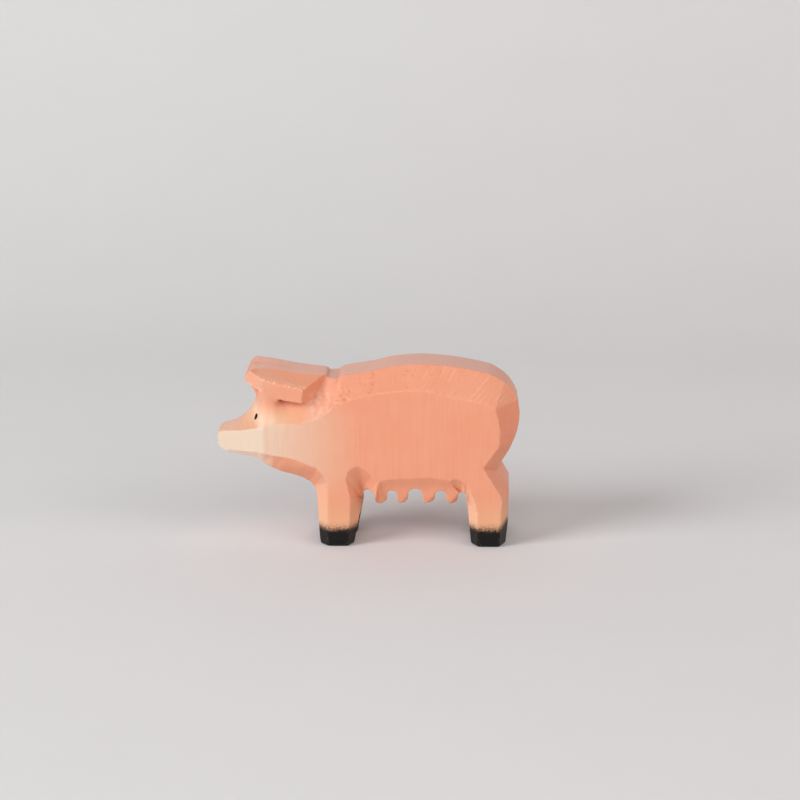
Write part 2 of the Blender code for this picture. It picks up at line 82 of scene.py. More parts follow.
class CarvingSettings(bpy.types.PropertyGroup):
    """Sizes of the marks that the tools left in the wood."""
    softness: bpy.props.IntProperty(
        name="Edge Softness", description="Rounds of smoothing over the knife edges",
        default=1, min=0, max=20)
    waviness: bpy.props.FloatProperty(
        name="Knife Waviness", description="How deep the facets dip between knife strokes",
        default=0.05 * MM, min=0.0, unit="LENGTH", precision=5)
    scraping: bpy.props.FloatProperty(
        name="Scraper Marks", description="Depth of the slanted marks on the back's facets",
        default=0.16 * MM, min=0.0, unit="LENGTH", precision=5)
    tearing: bpy.props.FloatProperty(
        name="Torn Grain", description="Depth of the pits where end grain tore at the shoulder",
        default=0.24 * MM, min=0.0, unit="LENGTH", precision=5)
    grain: bpy.props.FloatProperty(
        name="Raised Grain", description="Depth of the upright fibres on the flat sides",
        default=0.04 * MM, min=0.0, unit="LENGTH", precision=5)


def colour_property(name, description, default):
    return bpy.props.FloatVectorProperty(name=name, description=description, subtype="COLOR",
                                         size=3, min=0.0, max=1.0, default=default)


class PaintSettings(bpy.types.PropertyGroup):
    """Colours of the paint, as linear values."""
    pink: colour_property("Pink", "Paint of the body", (0.735, 0.312, 0.192))
    cream: colour_property("Cream", "Paint of the snout", (0.69, 0.54, 0.41))
    tan: colour_property("Tan", "Paint fading down the legs", (0.70, 0.375, 0.212))
    black: colour_property("Black", "Paint of the hooves and eyes", (0.005, 0.0045, 0.0045))
    hoof_height: bpy.props.FloatProperty(
        name="Hoof Height", description="Where the hooves' black paint ends",
        default=6.0 * MM, unit="LENGTH")
    gloss: bpy.props.FloatProperty(
        name="Roughness", description="Roughness of the satin paint", subtype="FACTOR",
        default=0.32, min=0.0, max=1.0)
    film: bpy.props.FloatProperty(
        name="Film IOR", description="Refraction of the paint's wax: lower shines less",
        default=1.3, min=1.0, max=2.0)


class StageSettings(bpy.types.PropertyGroup):
    """The paper under the toy and the lights."""
    floor: colour_property("Floor", "Colour of the paper sweep", (0.76, 0.745, 0.75))
    key: bpy.props.FloatProperty(
        name="Key Light", description="Power of the large soft light at the front left",
        default=38.0, min=0.0, unit="POWER")
    fill: bpy.props.FloatProperty(
        name="Fill Light", description="Power of the weaker light at the front right",
        default=21.0, min=0.0, unit="POWER")
    front: bpy.props.FloatProperty(
        name="Front Light", description="Power of the light over the camera",
        default=13.5, min=0.0, unit="POWER")
    ambient: bpy.props.FloatProperty(
        name="Ambient", description="Strength of the even light all round", default=0.15, min=0.0)


# ------------------------------------------------------------------ meshes as arrays

def node_surface(node):
    """Corners and triangles of a CAD node, with its loose triangles' corners merged."""
    mesh = node.data
    corners = np.empty(len(mesh.vertices) * 3)
    mesh.vertices.foreach_get("co", corners)
    corners = corners.reshape(-1, 3)
    mesh.calc_loop_triangles()
    triangles = np.empty(len(mesh.loop_triangles) * 3, np.int32)
    mesh.loop_triangles.foreach_get("vertices", triangles)
    keys = np.round(corners / 1e-7).astype(np.int64)
    _, first, inverse = np.unique(keys, axis=0, return_index=True, return_inverse=True)
    triangles = inverse.reshape(-1)[triangles].reshape(-1, 3)
    whole = (triangles != np.roll(triangles, 1, 1)).all(1)
    return corners[first], triangles[whole]


def triangle_normals(corners, triangles):
    """Unit normals: the cross product of two sides over its length."""
    a, b, c = (corners[triangles[:, i]] for i in range(3))
    normals = np.cross(b - a, c - a)
    return normals / np.maximum(np.linalg.norm(normals, axis=1, keepdims=True), 1e-20)


def mesh_object(name, corners, faces):
    """A new object at the origin from arrays of corners and of faces of equal length."""
    mesh = bpy.data.meshes.new(name)
    count, sides = faces.shape
    mesh.vertices.add(len(corners))
    mesh.vertices.foreach_set("co", np.asarray(corners, np.float32).ravel())
    mesh.loops.add(count * sides)
    mesh.loops.foreach_set("vertex_index", np.asarray(faces, np.int32).ravel())
    mesh.polygons.add(count)
    mesh.polygons.foreach_set("loop_start", np.arange(count, dtype=np.int32) * sides)
    mesh.update(calc_edges=True)
    mesh.validate()
    piece = bpy.data.objects.new(name, mesh)
    bpy.context.scene.collection.objects.link(piece)
    return piece


def modified(piece):
    """The mesh of a piece with its modifiers applied."""
    graph = bpy.context.evaluated_depsgraph_get()
    return bpy.data.meshes.new_from_object(piece.evaluated_get(graph), depsgraph=graph)


# ------------------------------------------------------------------ the fused block

def grown_nodes(surfaces):
    """Close the parting cuts: each face that looks at another node across a cut is moved out.

    A corner's shift d solves n.d = distance for every face there, with the distance zero on
    the faces that stay, so it slides along them.  An ear crosses the whole cut to the head;
    any other face crosses half of its cut.
    """
    names = list(surfaces)
    corners = np.concatenate([surfaces[name][0] for name in names])
    starts = np.cumsum([0] + [len(surfaces[name][0]) for name in names])
    triangles = np.concatenate([surfaces[name][1] + start for name, start in zip(names, starts)])
    owner = np.repeat(np.arange(len(names)), [len(surfaces[name][1]) for name in names])
    normals = triangle_normals(corners, triangles)
    centres = corners[triangles].mean(1)
    tree = BVHTree.FromPolygons(corners.tolist(), triangles.tolist())
    shift = np.zeros(len(triangles))
    for i, (centre, normal) in enumerate(zip(centres, normals)):
        reach = PARTING_GAP * 1.15
        _, facing, hit, _ = tree.ray_cast(Vector(centre + normal * 1e-6), Vector(normal), reach)
        if hit is None or owner[hit] == owner[i] or facing.dot(Vector(normal)) > -0.98:
            continue
        if names[owner[i]] in EARS:
            shift[i] = PARTING_GAP + OVERLAP
        elif names[owner[hit]] not in EARS:
            shift[i] = PARTING_GAP / 2 + OVERLAP
    planes = np.round(np.c_[owner, normals * 200, (normals * centres).sum(1) / (0.02 * MM)])
    _, plane = np.unique(planes, axis=0, return_inverse=True)
    plane = plane.reshape(-1)
    furthest = np.zeros(plane.max() + 1)
    np.maximum.at(furthest, plane, shift)
    shift = furthest[plane]
    matrices = np.zeros((len(corners), 3, 3))
    wanted = np.zeros((len(corners), 3))
    for side in range(3):
        np.add.at(matrices, triangles[:, side], normals[:, :, None] * normals[:, None, :])
        np.add.at(wanted, triangles[:, side], normals * shift[:, None])
    corners = corners + np.einsum("nij,nj->ni", np.linalg.pinv(matrices, rcond=0.01), wanted)
    return {name: (corners[a:b], surfaces[name][1])
            for name, a, b in zip(names, starts, starts[1:])}


def eye_seat(name):
    """Where an eye sits: its middle, half width, half height, and its ways up and out.

    The seat is the outward cap of the plug, the largest flat side of that node.
    """
    corners, triangles = node_surface(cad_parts[name])
    normals = triangle_normals(corners, triangles)
    a, b, c = (corners[triangles[:, i]] for i in range(3))
    areas = np.linalg.norm(np.cross(b - a, c - a), axis=1) / 2
    _, group = np.unique(np.round(normals, 2), axis=0, return_inverse=True)
    group = group.reshape(-1)
    outward_side = normals[:, 1] * corners[:, 1].mean() > 0
    largest = np.bincount(group, areas * outward_side).argmax()
    outward = normals[group == largest].mean(0)
    outward /= np.linalg.norm(outward)
    cap = corners[np.unique(triangles[group == largest])]
    centre = cap.mean(0)
    flat = cap - centre
    axes = np.linalg.svd(flat, full_matrices=False)[2]
    upward = axes[0] * np.sign(axes[0][2])
    across = np.cross(upward, outward)
    half_height = np.abs(flat @ upward).max()
    half_width = np.abs(flat @ across).max()
    return centre, half_width, half_height, upward, outward


def filled_pocket(name):
    """An eye's plug made wider and deeper, to fill its pocket to just under the paint."""
    corners, triangles = node_surface(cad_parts[name])
    centre, _, _, _, outward = eye_seat(name)
    local = corners - centre
    along = local @ outward
    flat = local - along[:, None] * outward
    reach = np.linalg.norm(flat, axis=1, keepdims=True)
    flat = flat * (1.0 + POCKET_GAP / np.maximum(reach, 0.1 * MM))
    depth = np.where(along > -0.3 * MM, -OVERLAP, along - POCKET_GAP)
    return centre + flat + depth[:, None] * outward, triangles


def fused_block():
    """One closed mesh of all nodes, with the parting cuts and the eyes' pockets filled."""
    surfaces = {name: node_surface(node) for name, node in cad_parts.items()
                if name not in EYES}
    surfaces = grown_nodes(surfaces)
    for name in EYES:
        surfaces[name] = filled_pocket(name)
    pieces = [mesh_object("part_" + name, *surface) for name, surface in surfaces.items()]
    whole, others = pieces[0], pieces[1:]
    for other in others:
        union = whole.modifiers.new(other.name, "BOOLEAN")
        union.operation = "UNION"
        union.solver = "MANIFOLD"
        union.object = other
    remesh = whole.modifiers.new("even_mesh", "REMESH")
    remesh.mode = "SHARP"
    remesh.octree_depth = 9
    remesh.scale = (CAD_BOX[1][0] - CAD_BOX[0][0]) / (CELL * 2 ** remesh.octree_depth)
    remesh.sharpness = 1.0
    mesh = modified(whole)
    corners = np.empty(len(mesh.vertices) * 3)
    mesh.vertices.foreach_get("co", corners)
    faces = np.empty(len(mesh.loops), np.int32)
    mesh.loops.foreach_get("vertex_index", faces)
    sizes = np.empty(len(mesh.polygons), np.int32)
    mesh.polygons.foreach_get("loop_total", sizes)
    if sizes.min() != 4 or sizes.max() != 4:
        raise RuntimeError("the even mesh is not all quads")
    for piece in pieces:
        bpy.data.objects.remove(piece)
    return corners.reshape(-1, 3), faces.reshape(-1, 4)


# ------------------------------------------------------------------ marks in the wood

def vertex_normals(corners, faces):
    """Unit normals at the corners: the sum of the faces' there, each weighed by its area."""
    a, b, c, d = (corners[faces[:, i]] for i in range(4))
    normals = np.cross(c - a, d - b)
    total = np.zeros_like(corners)
    for side in range(4):
        for axis in range(3):
            total[:, axis] += np.bincount(faces[:, side], normals[:, axis], len(corners))
    return total / np.maximum(np.linalg.norm(total, axis=1, keepdims=True), 1e-20)


def neighbour_mean(values, faces):
    """Mean of each corner's neighbours along the faces' edges."""
    start = faces.ravel()
    end = np.roll(faces, -1, 1).ravel()
    count = np.bincount(start, minlength=len(values)) + np.bincount(end, minlength=len(values))
    result = np.empty_like(values)
    for axis in range(values.shape[1]):
        total = (np.bincount(start, values[end, axis], len(values))
                 + np.bincount(end, values[start, axis], len(values)))
        result[:, axis] = total / count
    return result


def cloud(points, size, seed):
    """Smooth noise from 0 to 1: random values on a lattice, eased between its corners.

    size is the lattice's spacing, one number or one for each axis.
    """
    table = np.random.default_rng(seed).random(4096)
    place = points / size + 1000.0
    cell = np.floor(place).astype(np.int64)
    part = place - cell
    part = part * part * (3.0 - 2.0 * part)
    total = np.zeros(len(points))
    for corner in range(8):
        step = np.array([corner & 1, corner >> 1 & 1, corner >> 2 & 1])
        x, y, z = (cell + step).T
        value = table[(x * 73856093 ^ y * 19349663 ^ z * 83492791) & 4095]
        weight = np.where(step, part, 1.0 - part).prod(1)
        total += value * weight
    return total


def ramp(values, low, high):
    """Eased step from 0 at low to 1 at high."""
    t = np.clip((values - low) / (high - low), 0.0, 1.0)
    return t * t * (3.0 - 2.0 * t)


def near(points, centre, reach):
    """1 at a place on either side of the toy, eased to 0 at its reach along x, y and z."""
    mirrored = points.copy()
    mirrored[:, 1] = np.abs(mirrored[:, 1])
    distance = np.linalg.norm((mirrored / MM - np.array(centre)) / np.array(reach), axis=1)
    return 1.0 - ramp(distance, 0.45, 1.0)


# Places that the carver left soft: middle, reach and rounds of smoothing, sizes in mm
SOFT_PLACES = (
    ((-35.0, 14.0, 53.2), (4.6, 3.4, 3.4), 86),     # where the temple runs into the ear
    ((-31.8, 13.4, 47.2), (4.6, 5.0, 6.8), 172),    # the temple's rear border
    ((-37.2, 12.8, 47.0), (2.8, 4.0, 6.5), 69),     # the edge between face and temple
    ((-41.4, 8.5, 46.9), (4.4, 7.5, 4.6), 115),    # the face, up from the bridge
    ((-19.6, 12.0, 49.6), (3.2, 3.4, 4.0), 34),     # the foot of the ear's rear end
    ((-10.8, 11.0, 52.0), (2.6, 5.0, 6.5), 52),     # where the neck runs into the trunk
)
HOOF_CORNER = 1.6 * MM


def relaxed(corners, faces, weight, rounds):
    """Each corner moved towards its neighbours' mean again and again, as its weight says.

    Only the patch of faces where the weight is not zero takes part.
    """
    touched = (weight[faces] > 0.0).any(1)
    used, local = np.unique(faces[touched], return_inverse=True)
    local = local.reshape(-1, 4)
    patch = corners[used]
    share = weight[used][:, None] * 0.6
    for _ in range(rounds):
        patch = patch + share * (neighbour_mean(patch, local) - patch)
    corners = corners.copy()
    corners[used] = patch
    return corners


def softened(corners, faces, settings):
    """Knife edges taken off a little all over, and much more at the soft places."""
    for _ in range(settings.softness):
        corners = corners * 0.5 + neighbour_mean(corners, faces) * 0.5
    for middle, reach, rounds in SOFT_PLACES:
        corners = relaxed(corners, faces, near(corners, middle, reach), rounds)
    return relaxed(corners, faces, 1.0 - ramp(corners[:, 2], 0.0, HOOF_CORNER), 6)


# The left teats' slanted facets: a point on each, and the way it faces, in mm
TEAT_FACETS = (
    ((5.3, -10.4, 15.5), (0.55, -0.50, -0.66)),
    ((12.5, -10.4, 15.7), (0.60, -0.45, -0.66)),
    ((21.7, -10.4, 15.9), (0.55, -0.45, -0.70)),
    ((29.9, -10.4, 15.8), (0.58, -0.45, -0.68)),
)


def whittled(corners):
    """Each corner beyond a teat's facet is moved straight back onto it, on both sides.

    The right front leg is left a little fuller at its rear than the left one.
    """
    corners = corners.copy()
    x, y, z = corners.T / MM
    fuller = ramp(x, -9.0, -6.0) * (x < -1.0) * ramp(y, 2.0, 3.0) * (1.0 - ramp(z, 12.0, 14.5))
    corners[:, 0] += 0.5 * MM * fuller
    for point, facing in TEAT_FACETS:
        for side in (1.0, -1.0):
            mirror = np.array([1.0, side, 1.0])
            normal = np.array(facing) * mirror
            normal /= np.linalg.norm(normal)
            beyond = (corners - np.array(point) * mirror * MM) @ normal
            close = ((np.abs(corners[:, 0] - point[0] * MM) < 2.4 * MM)
                     & (corners[:, 2] < 19.0 * MM) & (corners[:, 1] * side < 0.0))
            corners -= np.where(close & (beyond > 0.0), beyond, 0.0)[:, None] * normal
    return corners


def relief(corners, faces, normals, rounds=4):
    """How far each corner stands out from its smoothed surroundings: edges positive."""
    flat = corners
    for _ in range(rounds):
        flat = neighbour_mean(flat, faces)
    return ((corners - flat) * normals).sum(1)


def slanted_place(corners):
    """Coordinates turned so that noise on them runs in lines up towards the rear."""
    x, y, z = corners.T
    return np.stack([x * 0.75 - z * 0.66, (x * 0.66 + z * 0.75) * 0.07, y * 0.2], 1)


def back_facets(corners, normals):
    """1 on the knife facets along the back and over the rump, 0 on the flat sides."""
    x, _, z = corners.T / MM
    slope = 1.0 - ramp(np.abs(normals[:, 1]), 0.985, 0.998)
    return (ramp(z, 46.5, 50.0) * ramp(x, -13.0, -10.0) * slope
            * (1.0 - ramp(normals[:, 2], 0.75, 0.9)))


# The point below the neck that the scraper's strokes fan out from, and the distance from
# it at which their spacing is measured, in mm
FAN_X, FAN_Z, FAN_RADIUS = -18.0, -4.7, 75.0


def fan_lines(x, z, spacing):
    """The angle about the fan's point, counted in lines that far apart at its radius."""
    return np.arctan2(z - FAN_Z, x - FAN_X) * FAN_RADIUS / spacing


def scratches(corners):
    """Strokes of the scraper, fanned out from a point below the neck and 1.5 mm apart.

    A stroke lies along a line of constant angle about that point.  A random number for each
    line, eased noise along it and a random depth make the strokes come and go.
    """
    x, _, z = corners.T / MM
    across = fan_lines(x, z, 1.5) + 0.5 * cloud(corners, 7.0 * MM, 12)
    line = np.floor(across)
    stroke = 1.0 - ramp(np.abs(across - line - 0.5), 0.02, 0.2)
    along = np.hypot(x - FAN_X, z - FAN_Z)
    random = cloud(np.stack([line * 7.3, along / 5.0, line], 1), 1.0, 6)
    return stroke * ramp(random, 0.35, 0.85) * ramp(x, 8.0, 26.0)


def torn_grain(corners):
    """Pits where end grain tore: two slanted bands on the shoulder, and strays behind them.

    The strays lie loose on the shoulder, and in fanned lines over the middle of the back.
    """
    x, _, z = corners.T / MM
    line = 1.0 - ramp(np.abs(x - 1.4 - 0.2 * (z - 56.5)), 0.4, 1.3)
    patch = 1.0 - ramp(np.abs(x + 8.0 - 0.4 * (z - 53.0)), 1.0, 3.0)
    patch *= 1.0 - ramp(z, 55.5, 57.0)
    strays = 0.5 * (1.0 - ramp(np.abs(x + 3.0), 5.0, 8.0))
    across = fan_lines(x, z, 2.6)
    fanned = 1.0 - ramp(np.abs(across - np.floor(across) - 0.5), 0.1, 0.3)
    strays += fanned * ramp(x, 6.0, 12.0) * (1.0 - ramp(x, 26.0, 34.0))
    pits = cloud(corners, 0.65 * MM, 3)
    return np.maximum(np.maximum(line, patch) * ramp(pits, 0.42, 0.7),
                      strays * ramp(pits, 0.72, 0.88))


def ear_rim(corners):
    """1 along the sharp rim between an ear's side and its hollow."""
    x, y, z = corners.T / MM
    rim = 1.0 - ramp(np.abs(z - 57.4 + 0.27 * (x + 28.3)), 0.4, 1.3)
    return rim * ramp(np.abs(y), 12.6, 13.4) * ramp(x, -38.0, -35.5) * (1.0 - ramp(x, -21.0, -20.0))


def carved_marks(corners, normals, settings):
    """How far each corner is cut inwards, as the sum of the marks of each tool.

    Facets get shallow dips of the knife.  The back's facets get slanted scraper marks, the
    shoulder and the nape get pits of torn end grain, the ears' rims get the notches of short
    knife strokes, and the flat sides get upright fibres.
    """
    flat_side = ramp(np.abs(normals[:, 1]), 0.985, 0.998)
    facet = 1.0 - flat_side
    dips = cloud(corners, np.array([5.0, 6.0, 5.0]) * MM, 1)
    slanted = slanted_place(corners)
    scraped = 0.4 * cloud(slanted, 0.9 * MM, 2) + 0.4 * cloud(slanted, 2.3 * MM, 5)
    scraped = (scraped * (0.2 + 0.8 * ramp(corners[:, 0] / MM, 4.0, 18.0))
               + 1.1 * scratches(corners))
    fibres = cloud(corners * np.array([1.0, 1.0, 0.04]), 0.8 * MM, 4)
    fibres *= 0.4 + 0.6 * cloud(corners, 9.0 * MM, 8) + 1.2 * (
        1.0 - ramp(corners[:, 0] / MM, -26.0, -20.0))
    nape = near(corners, (-16.0, 11.5, 50.5), (5.5, 5.0, 9.0)) * facet
    rough = cloud(corners, 2.0 * MM, 9) + 0.5 * cloud(corners, 0.9 * MM, 10)
    strokes = cloud(corners * np.array([1.0, 0.1, 0.1]), 0.7 * MM, 11)
    return (settings.waviness * facet * dips
            + back_facets(corners, normals) * (settings.scraping * scraped
                                               + settings.tearing * torn_grain(corners))
            + settings.tearing * nape * rough * 0.7
            + settings.tearing * ear_rim(corners) * strokes
            + settings.grain * flat_side * fibres)


# Where torn wood stands up as pale fuzz, and as bright splinters: middle and reach, in mm
FUZZ = ((-49.6, 6.6, 32.6), (2.4, 1.8, 1.1))
SPLINTERS = ((-2.6, 9.6, 18.2), (1.4, 1.8, 1.8))


def paint_shares(corners, normals, standing):
    """Values kept on the skin for its paint, each from 0 to 1 but for the two facings. Many of them
    place painted light and shade, each marked where it is made.

    The cream was sprayed on the snout from in front: it is full ahead of the cheek, falls
    off evenly along the cheek, and covers less where the wood faces up or is high.
    """
    x, y, z = corners.T / MM
    up = normals[:, 2]
    down = ramp(-up, 0.2, 0.5)
    cream = 0.22 * (1.0 - ramp(x, -37.0, -35.0)) + 0.78 * np.clip(-(x + 3.0) / 30.0, 0.0, 1.0)
    cream *= 1.0 - ramp(z, 44.5, 52.0) * (0.8 + 0.15 * ramp(x, -36.0, -29.0))
    cream *= 1.0 - 0.42 * ramp(up, 0.25, 0.8)
    cream *= ramp(z, 12.0, 28.0) * (1.0 - down * ramp(x, -39.0, -30.0))
    # Painted shade: the up-facing bridge of the snout and the slope under each ear are tinted more
    # orange, as shade falls there.
    bridge = ramp(up, 0.12, 0.4) * (1.0 - ramp(x, -39.0, -36.8))
    slope = (ramp(z, 42.9, 43.9) * (1.0 - ramp(z, 47.0, 51.0)) * ramp(x, -32.8, -30.5)
             * (1.0 - ramp(x, -24.0, -18.0)))
    # The hooves' black reaches higher on rear-facing faces: 2.2 mm more on the hind legs, and 3 mm
    # more on the right front leg's rear, where the raised black is painted shade in the gap behind
    # the left front leg.
    rear = ramp(normals[:, 0], 0.4, 0.8)
    rise = rear * (ramp(x, 45.6, 48.8) * 2.2 + (x < 0.0) * (y > 0.0) * 3.0)
    # Painted shade: the rear-facing wall behind each ear, kept with the hollows for a darker paint.
    ear_rear_shade = ramp(normals[:, 0], 0.3, 0.6) * ramp(z, 48.0, 50.0) * (1.0 - ramp(x, -13.0, -10.0))
    marks = back_facets(corners, normals)
    # Painted light: the temple and the face behind the eye are tinted brighter and warmer, as they
    # face the light more.
    painted_brow_light = (ramp(x, -41.0, -38.0) * (1.0 - ramp(x, -33.0, -30.0)) * ramp(z, 42.0, 44.5)
            * (1.0 - ramp(z, 48.5, 52.5)))
    # Painted light: the teats and udder, the up-facing crown and the down-facing jaw are tinted
    # brighter.
    teats = (1.0 - ramp(z, 19.0, 23.0)) * ramp(x, 3.0, 5.0) * (1.0 - ramp(x, 33.0, 35.0))
    crown = 0.6 * ramp(up, 0.88, 0.96) * ramp(z, 52.0, 56.0) * (1.0 - ramp(x, -18.0, -14.0))
    jaw = 0.6 * down * (1.0 - ramp(x, -38.0, -30.0))
    # Painted shade and light on the rear-facing rump: the facet below the crease is tinted darker
    # and redder, the one above it brighter.
    rump = ramp(x, 42.0, 44.5) * ramp(normals[:, 0], 0.35, 0.55) * ramp(z, 30.0, 34.0)
    painted_low_rump_shade = rump * (1.0 - ramp(z - 49.3 - 0.19 * (x - 43.9), -0.6, 0.4))
    return {"cream": cream, "facing": normals[:, 0], "up": up, "hoof_rise": rise,
            "painted_ochre_shade": np.maximum(bridge * (1.0 - 0.6 * painted_brow_light), slope), "painted_brow_light": painted_brow_light,
            "painted_low_rump_shade": painted_low_rump_shade, "painted_high_rump_light": rump - painted_low_rump_shade, "painted_light": crown + teats + jaw,
            # painted light on faces looking down under the jaw and chest
            "under": down * (1.0 - ramp(x, -18.0, -12.0)) * ramp(z, 25.0, 31.0),
            "worn": ramp(standing, 0.03 * MM, 0.12 * MM),
            "hollow": np.maximum(ramp(-standing, 0.03 * MM, 0.16 * MM), ear_rear_shade * 0.6),
            "fuzz": near(corners, *FUZZ), "splinters": near(corners, *SPLINTERS),
            "nape": near(corners, (-16.5, 11.5, 50.0), (5.5, 5.0, 8.0)),
            "rim": ear_rim(corners), "scratch": marks * scratches(corners),
            "torn": marks * torn_grain(corners)}


# ------------------------------------------------------------------ shader maths

class Value:
    """A shader socket that can be used in Python arithmetic."""

    def __init__(self, paint, socket):
        self.paint = paint
        self.socket = socket

    def maths(self, operation, first, second):
        return self.paint.node("ShaderNodeMath", {"operation": operation}, {0: first, 1: second})

    def __add__(self, other):
        return self.maths("ADD", self, other)

    def __radd__(self, other):
        return self.maths("ADD", other, self)

    def __sub__(self, other):
        return self.maths("SUBTRACT", self, other)

    def __rsub__(self, other):
        return self.maths("SUBTRACT", other, self)

    def __mul__(self, other):
        return self.maths("MULTIPLY", self, other)

    def __rmul__(self, other):
        return self.maths("MULTIPLY", other, self)

    def __truediv__(self, other):
        return self.maths("DIVIDE", self, other)

    def __rtruediv__(self, other):
        return self.maths("DIVIDE", other, self)

    def __abs__(self):
        return self.paint.node("ShaderNodeMath", {"operation": "ABSOLUTE"}, {0: self})


class Paint:
    """A material whose nodes are made by one method."""

    def __init__(self, name):
        self.material = bpy.data.materials.new(name)
        self.material.use_nodes = True
        self.tree = self.material.node_tree
        self.shader = self.tree.nodes["Principled BSDF"]
        self.place = self.node("ShaderNodeTexCoord", output="Object")

    def node(self, kind, settings=None, inputs=None, output=0):
        node = self.tree.nodes.new(kind)
        for name, value in (settings or {}).items():
            setattr(node, name, value)
        for name, value in (inputs or {}).items():
            self.feed(node.inputs[name], value)
        return Value(self, node.outputs[output])

    def feed(self, socket, value):
        if isinstance(value, Value):
            self.tree.links.new(value.socket, socket)
        else:
            socket.default_value = value

    def millimetres(self):
        """The three coordinates in millimetres."""
        scaled = self.node("ShaderNodeVectorMath", {"operation": "SCALE"},
                           {0: self.place, "Scale": 1000.0})
        parts = self.tree.nodes.new("ShaderNodeSeparateXYZ")
        self.feed(parts.inputs[0], scaled)
        return [Value(self, parts.outputs[i]) for i in range(3)]

    def vector(self, x, y, z):
        return self.node("ShaderNodeCombineXYZ", {}, {0: x, 1: y, 2: z})

    def noise(self, place, scale, detail=2.0, roughness=0.5):
        return self.node("ShaderNodeTexNoise", {},
                         {"Vector": place, "Scale": scale, "Detail": detail,
                          "Roughness": roughness}, "Fac")

    def ramp(self, value, low, high):
        """Eased step from 0 at low to 1 at high."""
        return self.node("ShaderNodeMapRange", {"interpolation_type": "SMOOTHSTEP"},
                         {"Value": value, "From Min": low, "From Max": high})

    def mix(self, factor, first, second, blend="MIX"):
        """Colours blended by a factor."""
        return self.node("ShaderNodeMix", {"data_type": "RGBA", "blend_type": blend},
                         {0: factor, 6: first, 7: second}, 2)

    def attribute(self, name):
        return self.node("ShaderNodeAttribute", {"attribute_name": name}, output="Fac")


def rgba(colour):
    return (*colour, 1.0)


# Painted light and shade: tints multiplied into the paint where the value kept on the skin says,
# and by how much. Painted shade makes the up-facing snout bridge and the slope under the ears more
# orange, and the rump's lower facet darker and redder. Painted light makes the temple, the crown,
# the teats, the jaw and the rump's upper facet brighter.
TINTS = (
    ("painted_ochre_shade", (1.0, 0.84, 0.71)),
    ("painted_brow_light", (1.16, 1.04, 0.97)),
    ("painted_light", (1.15, 1.13, 1.12)),
    ("painted_low_rump_shade", (1.0, 0.9, 0.9)),
    ("painted_high_rump_light", (1.05, 1.07, 1.08)),
)
PALE = (0.85, 0.55, 0.42, 1.0)


def times(colour, share):
    """An opaque colour with each of its channels multiplied."""
    return (*(channel * part for channel, part in zip(colour, share)), 1.0)


def sprayed(paint, settings, x, z, soft, fibres):
    """Pink paint, uneven and thinner along the fibres, with cream over the snout and tan down the
    shins, and with painted light and shade: tints by how faces turn, painted light on faces that
    look down at the jaw and chest and on front-facing shins, and a painted reflection of the pale
    paper on up-facing faces.
    """
    deep = times(settings.pink, (0.97, 0.87, 0.83))
    colour = paint.mix(paint.ramp(soft, 0.3, 0.7) * 0.35, rgba(settings.pink), deep)
    colour = paint.mix(paint.ramp(fibres, 0.4, 0.65) * 0.4, colour, deep)
    colour = paint.mix(paint.attribute("cream") * (0.65 + fibres * 0.8), colour,
                       rgba(settings.cream))
    # Painted light and shade: the tints in TINTS, multiplied in by the values kept on the skin.
    for name, tint in TINTS:
        colour = paint.mix(paint.attribute(name), colour, rgba(tint), "MULTIPLY")
    # Painted light: faces looking down under the jaw and chest are brightened, toward pale cream at
    # the snout and a bright pink behind it, standing for light thrown up from the floor.
    snout_side = 1.0 - paint.ramp(x, -42.0, -29.0)
    under = paint.mix(snout_side, (0.92, 0.40, 0.24, 1.0), (0.98, 0.74, 0.58, 1.0))
    colour = paint.mix(paint.attribute("under") * 0.8, colour, under)
    # Painted reflection: faces that look straight up are greyed toward a pale pink, as the satin
    # paint there shines with the pale paper behind.
    colour = paint.mix(paint.ramp(paint.attribute("up"), 0.8, 0.97) * 0.26, colour,
                       (0.80, 0.58, 0.53, 1.0))
    # Tan fades down the legs; the extra tan on front-facing faces up to 24 mm is painted light,
    # where the light from the front left falls on them.
    facing_front = 1.0 - paint.ramp(paint.attribute("facing"), -0.9, -0.2)
    shin = (1.0 - paint.ramp(z, 6.0, 20.0)) * 0.85 + facing_front * (
        1.0 - paint.ramp(z, 14.0, 24.0)) * 0.4
    colour = paint.mix(shin, colour, rgba(settings.tan))
    # Painted light: front-facing faces low on the legs, the hind legs' most, are brightened toward
    # a light orange.
    lit_front = facing_front * (1.0 - paint.ramp(z, 18.0, 26.0)) * (
        0.2 + paint.ramp(x, 20.0, 30.0) * 0.25)
    return paint.mix(lit_front, colour, (0.98, 0.58, 0.40, 1.0))


def marked(paint, settings, colour, place, fine):
    """The paint with its worn edges, strokes, torn pits and loose wood, and with painted shade in
    the hollows and on the ears' rear walls.
    """
    # A deeper pink, for the torn pits and for the painted shade in hollows and on the ears' rear
    # walls.
    ruddy = times(settings.pink, (0.92, 0.66, 0.55))
    specks = paint.ramp(paint.noise(place, 1.3, 2.0), 0.48, 0.62)
    edges = paint.attribute("worn") * specks * 0.22
    colour = paint.mix(edges + paint.attribute("rim") * specks * 0.5, colour, PALE)
    colour = paint.mix(paint.attribute("scratch") * 0.33, colour, PALE)
    colour = paint.mix(paint.attribute("torn") * 0.55, colour, ruddy)
    blotches = paint.ramp(paint.noise(place, 0.55, 3.0), 0.42, 0.64)
    colour = paint.mix(paint.attribute("nape") * blotches * 0.4, colour, PALE)
    tufts = paint.ramp(fine, 0.35, 0.6)
    colour = paint.mix(paint.attribute("fuzz") * tufts, colour, (0.92, 0.80, 0.66, 1.0))
    colour = paint.mix(paint.attribute("splinters") * tufts * 0.8, colour,
                       (0.95, 0.36, 0.15, 1.0))
    # Painted shade: hollows and the ears' rear walls are darkened toward a deeper pink.
    return paint.mix(paint.attribute("hollow") * 0.6, colour, ruddy)


